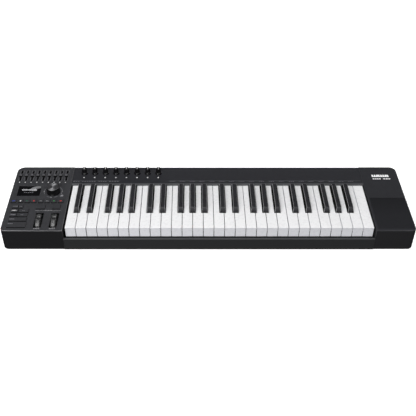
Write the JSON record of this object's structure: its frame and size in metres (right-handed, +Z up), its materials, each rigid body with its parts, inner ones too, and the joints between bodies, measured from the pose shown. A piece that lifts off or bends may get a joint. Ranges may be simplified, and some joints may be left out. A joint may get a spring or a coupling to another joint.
{
  "type": "midi keyboard",
  "caption": "Desktop MIDI keyboard: hinged white and black keys in a moulded case, with knobs, faders, button pads, a display, an encoder, pitch and modulation wheels and a touchpad.",
  "frame": {"origin": "centre of the footprint, on the surface that the feet stand on", "axes": "+X to the player's right, towards the high notes; +Y away from the player, towards the sockets; +Z up"},
  "size_m": [0.912, 0.23, 0.074],
  "materials": {
    "case_plastic": "fine moulded texture, charcoal",
    "housing_plastic": "fine moulded texture, dark grey",
    "panel_plastic": "fine moulded texture, dark grey",
    "knob_plastic": "satin black",
    "keypad_rubber": "soft-touch rubber, dark grey",
    "wheel_rubber": "dimpled soft rubber, black",
    "white_key_plastic": "satin-gloss white",
    "black_key_plastic": "satin black",
    "display_glass": "glossy black window",
    "touchpad_plastic": "smooth satin",
    "marking_ink": "printed light grey",
    "bright_trim": "brushed, satin",
    "steel_parts": "zinc-plated",
    "board_laminate": "green solder mask",
    "felt_strip": "pressed felt"
  },
  "bodies": {
    "case": {"bottom_case": "case_plastic", "left_housing": "housing_plastic", "right_housing": "housing_plastic", "centre_panel": "panel_plastic", "knob_row": "knob_plastic"},
    "encoder": {"encoder_knob": "knob_plastic"},
    "fader_bank": {"fader_bank": "knob_plastic"},
    "function_keypad": {"function_keypad": "keypad_rubber"},
    "transport_keypad": {"transport_keypad": "keypad_rubber"},
    "modulation_wheel": {"modulation_wheel": "wheel_rubber"},
    "pitch_wheel": {"pitch_wheel": "wheel_rubber"},
    "key_01_c": {"key_01_c": "white_key_plastic"},
    "key_02_c_sharp": {"key_02_c_sharp": "black_key_plastic"},
    "key_03_d": {"key_03_d": "white_key_plastic"},
    "key_04_d_sharp": {"key_04_d_sharp": "black_key_plastic"},
    "key_05_e": {"key_05_e": "white_key_plastic"},
    "key_06_f": {"key_06_f": "white_key_plastic"},
    "key_07_f_sharp": {"key_07_f_sharp": "black_key_plastic"},
    "key_08_g": {"key_08_g": "white_key_plastic"},
    "key_09_g_sharp": {"key_09_g_sharp": "black_key_plastic"},
    "key_10_a": {"key_10_a": "white_key_plastic"},
    "key_11_a_sharp": {"key_11_a_sharp": "black_key_plastic"},
    "key_12_b": {"key_12_b": "white_key_plastic"},
    "key_13_c": {"key_13_c": "white_key_plastic"},
    "key_14_c_sharp": {"key_14_c_sharp": "black_key_plastic"},
    "key_15_d": {"key_15_d": "white_key_plastic"},
    "key_16_d_sharp": {"key_16_d_sharp": "black_key_plastic"},
    "key_17_e": {"key_17_e": "white_key_plastic"},
    "key_18_f": {"key_18_f": "white_key_plastic"},
    "key_19_f_sharp": {"key_19_f_sharp": "black_key_plastic"},
    "key_20_g": {"key_20_g": "white_key_plastic"},
    "key_21_g_sharp": {"key_21_g_sharp": "black_key_plastic"},
    "key_22_a": {"key_22_a": "white_key_plastic"},
    "key_23_a_sharp": {"key_23_a_sharp": "black_key_plastic"},
    "key_24_b": {"key_24_b": "white_key_plastic"},
    "key_25_c": {"key_25_c": "white_key_plastic"},
    "key_26_c_sharp": {"key_26_c_sharp": "black_key_plastic"},
    "key_27_d": {"key_27_d": "white_key_plastic"},
    "key_28_d_sharp": {"key_28_d_sharp": "black_key_plastic"},
    "key_29_e": {"key_29_e": "white_key_plastic"},
    "key_30_f": {"key_30_f": "white_key_plastic"},
    "key_31_f_sharp": {"key_31_f_sharp": "black_key_plastic"},
    "key_32_g": {"key_32_g": "white_key_plastic"},
    "key_33_g_sharp": {"key_33_g_sharp": "black_key_plastic"},
    "key_34_a": {"key_34_a": "white_key_plastic"},
    "key_35_a_sharp": {"key_35_a_sharp": "black_key_plastic"},
    "key_36_b": {"key_36_b": "white_key_plastic"},
    "key_37_c": {"key_37_c": "white_key_plastic"},
    "key_38_c_sharp": {"key_38_c_sharp": "black_key_plastic"},
    "key_39_d": {"key_39_d": "white_key_plastic"},
    "key_40_d_sharp": {"key_40_d_sharp": "black_key_plastic"},
    "key_41_e": {"key_41_e": "white_key_plastic"},
    "key_42_f": {"key_42_f": "white_key_plastic"},
    "key_43_f_sharp": {"key_43_f_sharp": "black_key_plastic"},
    "key_44_g": {"key_44_g": "white_key_plastic"},
    "key_45_g_sharp": {"key_45_g_sharp": "black_key_plastic"},
    "key_46_a": {"key_46_a": "white_key_plastic"},
    "key_47_a_sharp": {"key_47_a_sharp": "black_key_plastic"},
    "key_48_b": {"key_48_b": "white_key_plastic"},
    "key_49_c": {"key_49_c": "white_key_plastic"}
  },
  "joints": [
    {"name": "encoder_turn", "type": "hinge", "parent": "case", "child": "encoder", "pos_m": [-0.3575, 0.0195, 0.059], "axis": [0, 0, 1], "continuous": true},
    {"name": "fader_bank_slide", "type": "slide", "parent": "case", "child": "fader_bank", "axis": [0, 1, 0], "range_m": [-0.0115, 0.0185]},
    {"name": "keypad_press_function", "type": "slide", "parent": "case", "child": "function_keypad", "axis": [0, 0, -1], "range_m": [0, 0.001], "stiffness_N_per_m": 500, "springref_m": -0.001},
    {"name": "keypad_press_transport", "type": "slide", "parent": "case", "child": "transport_keypad", "axis": [0, 0, -1], "range_m": [0, 0.001], "stiffness_N_per_m": 500, "springref_m": -0.001},
    {"name": "modulation_wheel_turn", "type": "hinge", "parent": "case", "child": "modulation_wheel", "pos_m": [-0.342, -0.08, 0.042], "axis": [-1, 0, 0], "range_deg": [0, 70]},
    {"name": "pitch_wheel_turn", "type": "hinge", "parent": "case", "child": "pitch_wheel", "pos_m": [-0.3763, -0.08, 0.042], "axis": [-1, 0, 0], "range_deg": [-40, 40], "stiffness_Nm_per_rad": 0.05},
    {"name": "press_key_01", "type": "hinge", "parent": "case", "child": "key_01_c", "pos_m": [0, 0.092, 0.041], "axis": [1, 0, 0], "range_deg": [0, 2.9], "stiffness_Nm_per_rad": 0.5, "springref_deg": -14.32},
    {"name": "press_key_02", "type": "hinge", "parent": "case", "child": "key_02_c_sharp", "pos_m": [0, 0.092, 0.041], "axis": [1, 0, 0], "range_deg": [0, 3.4], "stiffness_Nm_per_rad": 0.5, "springref_deg": -14.32},
    {"name": "press_key_03", "type": "hinge", "parent": "case", "child": "key_03_d", "pos_m": [0, 0.092, 0.041], "axis": [1, 0, 0], "range_deg": [0, 2.9], "stiffness_Nm_per_rad": 0.5, "springref_deg": -14.32},
    {"name": "press_key_04", "type": "hinge", "parent": "case", "child": "key_04_d_sharp", "pos_m": [0, 0.092, 0.041], "axis": [1, 0, 0], "range_deg": [0, 3.4], "stiffness_Nm_per_rad": 0.5, "springref_deg": -14.32},
    {"name": "press_key_05", "type": "hinge", "parent": "case", "child": "key_05_e", "pos_m": [0, 0.092, 0.041], "axis": [1, 0, 0], "range_deg": [0, 2.9], "stiffness_Nm_per_rad": 0.5, "springref_deg": -14.32},
    {"name": "press_key_06", "type": "hinge", "parent": "case", "child": "key_06_f", "pos_m": [0, 0.092, 0.041], "axis": [1, 0, 0], "range_deg": [0, 2.9], "stiffness_Nm_per_rad": 0.5, "springref_deg": -14.32},
    {"name": "press_key_07", "type": "hinge", "parent": "case", "child": "key_07_f_sharp", "pos_m": [0, 0.092, 0.041], "axis": [1, 0, 0], "range_deg": [0, 3.4], "stiffness_Nm_per_rad": 0.5, "springref_deg": -14.32},
    {"name": "press_key_08", "type": "hinge", "parent": "case", "child": "key_08_g", "pos_m": [0, 0.092, 0.041], "axis": [1, 0, 0], "range_deg": [0, 2.9], "stiffness_Nm_per_rad": 0.5, "springref_deg": -14.32},
    {"name": "press_key_09", "type": "hinge", "parent": "case", "child": "key_09_g_sharp", "pos_m": [0, 0.092, 0.041], "axis": [1, 0, 0], "range_deg": [0, 3.4], "stiffness_Nm_per_rad": 0.5, "springref_deg": -14.32},
    {"name": "press_key_10", "type": "hinge", "parent": "case", "child": "key_10_a", "pos_m": [0, 0.092, 0.041], "axis": [1, 0, 0], "range_deg": [0, 2.9], "stiffness_Nm_per_rad": 0.5, "springref_deg": -14.32},
    {"name": "press_key_11", "type": "hinge", "parent": "case", "child": "key_11_a_sharp", "pos_m": [0, 0.092, 0.041], "axis": [1, 0, 0], "range_deg": [0, 3.4], "stiffness_Nm_per_rad": 0.5, "springref_deg": -14.32},
    {"name": "press_key_12", "type": "hinge", "parent": "case", "child": "key_12_b", "pos_m": [0, 0.092, 0.041], "axis": [1, 0, 0], "range_deg": [0, 2.9], "stiffness_Nm_per_rad": 0.5, "springref_deg": -14.32},
    {"name": "press_key_13", "type": "hinge", "parent": "case", "child": "key_13_c", "pos_m": [0, 0.092, 0.041], "axis": [1, 0, 0], "range_deg": [0, 2.9], "stiffness_Nm_per_rad": 0.5, "springref_deg": -14.32},
    {"name": "press_key_14", "type": "hinge", "parent": "case", "child": "key_14_c_sharp", "pos_m": [0, 0.092, 0.041], "axis": [1, 0, 0], "range_deg": [0, 3.4], "stiffness_Nm_per_rad": 0.5, "springref_deg": -14.32},
    {"name": "press_key_15", "type": "hinge", "parent": "case", "child": "key_15_d", "pos_m": [0, 0.092, 0.041], "axis": [1, 0, 0], "range_deg": [0, 2.9], "stiffness_Nm_per_rad": 0.5, "springref_deg": -14.32},
    {"name": "press_key_16", "type": "hinge", "parent": "case", "child": "key_16_d_sharp", "pos_m": [0, 0.092, 0.041], "axis": [1, 0, 0], "range_deg": [0, 3.4], "stiffness_Nm_per_rad": 0.5, "springref_deg": -14.32},
    {"name": "press_key_17", "type": "hinge", "parent": "case", "child": "key_17_e", "pos_m": [0, 0.092, 0.041], "axis": [1, 0, 0], "range_deg": [0, 2.9], "stiffness_Nm_per_rad": 0.5, "springref_deg": -14.32},
    {"name": "press_key_18", "type": "hinge", "parent": "case", "child": "key_18_f", "pos_m": [0, 0.092, 0.041], "axis": [1, 0, 0], "range_deg": [0, 2.9], "stiffness_Nm_per_rad": 0.5, "springref_deg": -14.32},
    {"name": "press_key_19", "type": "hinge", "parent": "case", "child": "key_19_f_sharp", "pos_m": [0, 0.092, 0.041], "axis": [1, 0, 0], "range_deg": [0, 3.4], "stiffness_Nm_per_rad": 0.5, "springref_deg": -14.32},
    {"name": "press_key_20", "type": "hinge", "parent": "case", "child": "key_20_g", "pos_m": [0, 0.092, 0.041], "axis": [1, 0, 0], "range_deg": [0, 2.9], "stiffness_Nm_per_rad": 0.5, "springref_deg": -14.32},
    {"name": "press_key_21", "type": "hinge", "parent": "case", "child": "key_21_g_sharp", "pos_m": [0, 0.092, 0.041], "axis": [1, 0, 0], "range_deg": [0, 3.4], "stiffness_Nm_per_rad": 0.5, "springref_deg": -14.32},
    {"name": "press_key_22", "type": "hinge", "parent": "case", "child": "key_22_a", "pos_m": [0, 0.092, 0.041], "axis": [1, 0, 0], "range_deg": [0, 2.9], "stiffness_Nm_per_rad": 0.5, "springref_deg": -14.32},
    {"name": "press_key_23", "type": "hinge", "parent": "case", "child": "key_23_a_sharp", "pos_m": [0, 0.092, 0.041], "axis": [1, 0, 0], "range_deg": [0, 3.4], "stiffness_Nm_per_rad": 0.5, "springref_deg": -14.32},
    {"name": "press_key_24", "type": "hinge", "parent": "case", "child": "key_24_b", "pos_m": [0, 0.092, 0.041], "axis": [1, 0, 0], "range_deg": [0, 2.9], "stiffness_Nm_per_rad": 0.5, "springref_deg": -14.32},
    {"name": "press_key_25", "type": "hinge", "parent": "case", "child": "key_25_c", "pos_m": [0, 0.092, 0.041], "axis": [1, 0, 0], "range_deg": [0, 2.9], "stiffness_Nm_per_rad": 0.5, "springref_deg": -14.32},
    {"name": "press_key_26", "type": "hinge", "parent": "case", "child": "key_26_c_sharp", "pos_m": [0, 0.092, 0.041], "axis": [1, 0, 0], "range_deg": [0, 3.4], "stiffness_Nm_per_rad": 0.5, "springref_deg": -14.32},
    {"name": "press_key_27", "type": "hinge", "parent": "case", "child": "key_27_d", "pos_m": [0, 0.092, 0.041], "axis": [1, 0, 0], "range_deg": [0, 2.9], "stiffness_Nm_per_rad": 0.5, "springref_deg": -14.32},
    {"name": "press_key_28", "type": "hinge", "parent": "case", "child": "key_28_d_sharp", "pos_m": [0, 0.092, 0.041], "axis": [1, 0, 0], "range_deg": [0, 3.4], "stiffness_Nm_per_rad": 0.5, "springref_deg": -14.32},
    {"name": "press_key_29", "type": "hinge", "parent": "case", "child": "key_29_e", "pos_m": [0, 0.092, 0.041], "axis": [1, 0, 0], "range_deg": [0, 2.9], "stiffness_Nm_per_rad": 0.5, "springref_deg": -14.32},
    {"name": "press_key_30", "type": "hinge", "parent": "case", "child": "key_30_f", "pos_m": [0, 0.092, 0.041], "axis": [1, 0, 0], "range_deg": [0, 2.9], "stiffness_Nm_per_rad": 0.5, "springref_deg": -14.32},
    {"name": "press_key_31", "type": "hinge", "parent": "case", "child": "key_31_f_sharp", "pos_m": [0, 0.092, 0.041], "axis": [1, 0, 0], "range_deg": [0, 3.4], "stiffness_Nm_per_rad": 0.5, "springref_deg": -14.32},
    {"name": "press_key_32", "type": "hinge", "parent": "case", "child": "key_32_g", "pos_m": [0, 0.092, 0.041], "axis": [1, 0, 0], "range_deg": [0, 2.9], "stiffness_Nm_per_rad": 0.5, "springref_deg": -14.32},
    {"name": "press_key_33", "type": "hinge", "parent": "case", "child": "key_33_g_sharp", "pos_m": [0, 0.092, 0.041], "axis": [1, 0, 0], "range_deg": [0, 3.4], "stiffness_Nm_per_rad": 0.5, "springref_deg": -14.32},
    {"name": "press_key_34", "type": "hinge", "parent": "case", "child": "key_34_a", "pos_m": [0, 0.092, 0.041], "axis": [1, 0, 0], "range_deg": [0, 2.9], "stiffness_Nm_per_rad": 0.5, "springref_deg": -14.32},
    {"name": "press_key_35", "type": "hinge", "parent": "case", "child": "key_35_a_sharp", "pos_m": [0, 0.092, 0.041], "axis": [1, 0, 0], "range_deg": [0, 3.4], "stiffness_Nm_per_rad": 0.5, "springref_deg": -14.32},
    {"name": "press_key_36", "type": "hinge", "parent": "case", "child": "key_36_b", "pos_m": [0, 0.092, 0.041], "axis": [1, 0, 0], "range_deg": [0, 2.9], "stiffness_Nm_per_rad": 0.5, "springref_deg": -14.32},
    {"name": "press_key_37", "type": "hinge", "parent": "case", "child": "key_37_c", "pos_m": [0, 0.092, 0.041], "axis": [1, 0, 0], "range_deg": [0, 2.9], "stiffness_Nm_per_rad": 0.5, "springref_deg": -14.32},
    {"name": "press_key_38", "type": "hinge", "parent": "case", "child": "key_38_c_sharp", "pos_m": [0, 0.092, 0.041], "axis": [1, 0, 0], "range_deg": [0, 3.4], "stiffness_Nm_per_rad": 0.5, "springref_deg": -14.32},
    {"name": "press_key_39", "type": "hinge", "parent": "case", "child": "key_39_d", "pos_m": [0, 0.092, 0.041], "axis": [1, 0, 0], "range_deg": [0, 2.9], "stiffness_Nm_per_rad": 0.5, "springref_deg": -14.32},
    {"name": "press_key_40", "type": "hinge", "parent": "case", "child": "key_40_d_sharp", "pos_m": [0, 0.092, 0.041], "axis": [1, 0, 0], "range_deg": [0, 3.4], "stiffness_Nm_per_rad": 0.5, "springref_deg": -14.32},
    {"name": "press_key_41", "type": "hinge", "parent": "case", "child": "key_41_e", "pos_m": [0, 0.092, 0.041], "axis": [1, 0, 0], "range_deg": [0, 2.9], "stiffness_Nm_per_rad": 0.5, "springref_deg": -14.32},
    {"name": "press_key_42", "type": "hinge", "parent": "case", "child": "key_42_f", "pos_m": [0, 0.092, 0.041], "axis": [1, 0, 0], "range_deg": [0, 2.9], "stiffness_Nm_per_rad": 0.5, "springref_deg": -14.32},
    {"name": "press_key_43", "type": "hinge", "parent": "case", "child": "key_43_f_sharp", "pos_m": [0, 0.092, 0.041], "axis": [1, 0, 0], "range_deg": [0, 3.4], "stiffness_Nm_per_rad": 0.5, "springref_deg": -14.32},
    {"name": "press_key_44", "type": "hinge", "parent": "case", "child": "key_44_g", "pos_m": [0, 0.092, 0.041], "axis": [1, 0, 0], "range_deg": [0, 2.9], "stiffness_Nm_per_rad": 0.5, "springref_deg": -14.32},
    {"name": "press_key_45", "type": "hinge", "parent": "case", "child": "key_45_g_sharp", "pos_m": [0, 0.092, 0.041], "axis": [1, 0, 0], "range_deg": [0, 3.4], "stiffness_Nm_per_rad": 0.5, "springref_deg": -14.32},
    {"name": "press_key_46", "type": "hinge", "parent": "case", "child": "key_46_a", "pos_m": [0, 0.092, 0.041], "axis": [1, 0, 0], "range_deg": [0, 2.9], "stiffness_Nm_per_rad": 0.5, "springref_deg": -14.32},
    {"name": "press_key_47", "type": "hinge", "parent": "case", "child": "key_47_a_sharp", "pos_m": [0, 0.092, 0.041], "axis": [1, 0, 0], "range_deg": [0, 3.4], "stiffness_Nm_per_rad": 0.5, "springref_deg": -14.32},
    {"name": "press_key_48", "type": "hinge", "parent": "case", "child": "key_48_b", "pos_m": [0, 0.092, 0.041], "axis": [1, 0, 0], "range_deg": [0, 2.9], "stiffness_Nm_per_rad": 0.5, "springref_deg": -14.32},
    {"name": "press_key_49", "type": "hinge", "parent": "case", "child": "key_49_c", "pos_m": [0, 0.092, 0.041], "axis": [1, 0, 0], "range_deg": [0, 2.9], "stiffness_Nm_per_rad": 0.5, "springref_deg": -14.32}
  ]
}
